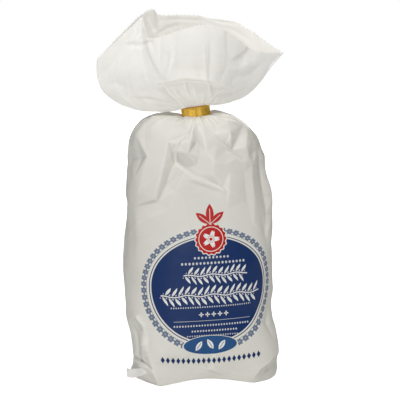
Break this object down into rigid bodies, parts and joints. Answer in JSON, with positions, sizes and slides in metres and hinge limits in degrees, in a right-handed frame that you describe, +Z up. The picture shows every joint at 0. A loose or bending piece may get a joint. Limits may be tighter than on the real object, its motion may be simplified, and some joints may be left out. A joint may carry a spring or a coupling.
{
  "type": "bag of gingerbread biscuits",
  "caption": "Upright white paper bag, filled and shut by a flat gold band round its neck, with the free paper fanned out above as an open crown.",
  "frame": {"origin": "middle of the underside, on the surface that the bag stands on", "axes": "+Z up, along the bag's height; the printed front faces -Y; +X to the right of someone who faces the front"},
  "size_m": [0.149, 0.0751, 0.2945],
  "materials": {
    "bag_paper": "coated white paper with a soft shine, printed in dark blue and red on the front",
    "gold_band": "gold foil on a plastic strip, satin"
  },
  "bodies": {
    "root": {"bag": "bag_paper", "tie": "gold_band"}
  },
  "joints": []
}
